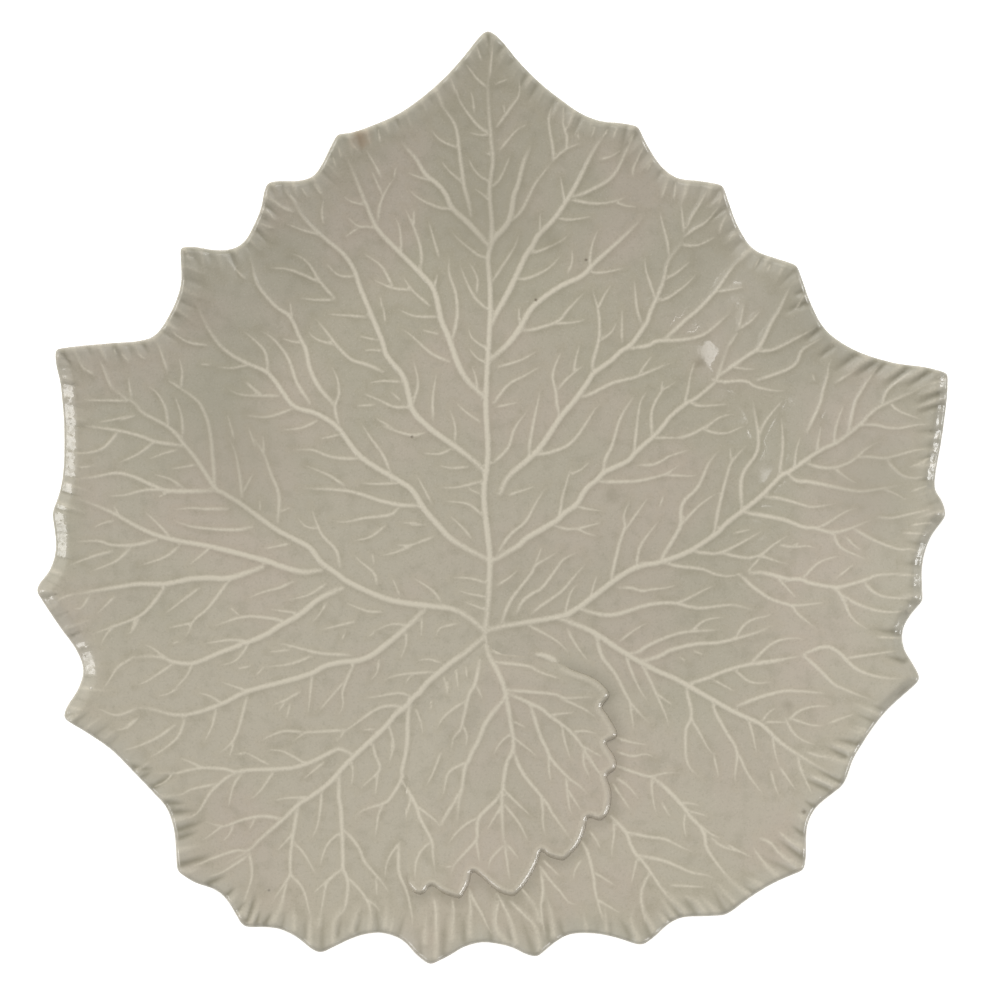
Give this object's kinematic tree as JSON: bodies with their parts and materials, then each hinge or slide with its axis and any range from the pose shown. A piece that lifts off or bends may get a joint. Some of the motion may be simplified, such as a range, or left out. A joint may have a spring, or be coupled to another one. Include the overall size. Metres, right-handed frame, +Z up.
{
  "type": "leaf shaped plate",
  "caption": "Shallow serving plate shaped as a toothed leaf with raised branching veins, a small leaf laid over its lower half, and a round foot ring.",
  "frame": {"origin": "middle of the plate's box, on the table that the foot ring stands on", "axes": "+Z up out of the well, +Y towards the leaf's top tooth, +X to the right of it"},
  "size_m": [0.2827, 0.29, 0.0314],
  "materials": {
    "glaze": "semi-gloss greige glaze",
    "bare_clay": "unglazed, fine grained"
  },
  "bodies": {
    "root": {"leaf_dish": "glaze", "overlay_leaf": "glaze", "foot_ring": "bare_clay"}
  },
  "joints": []
}
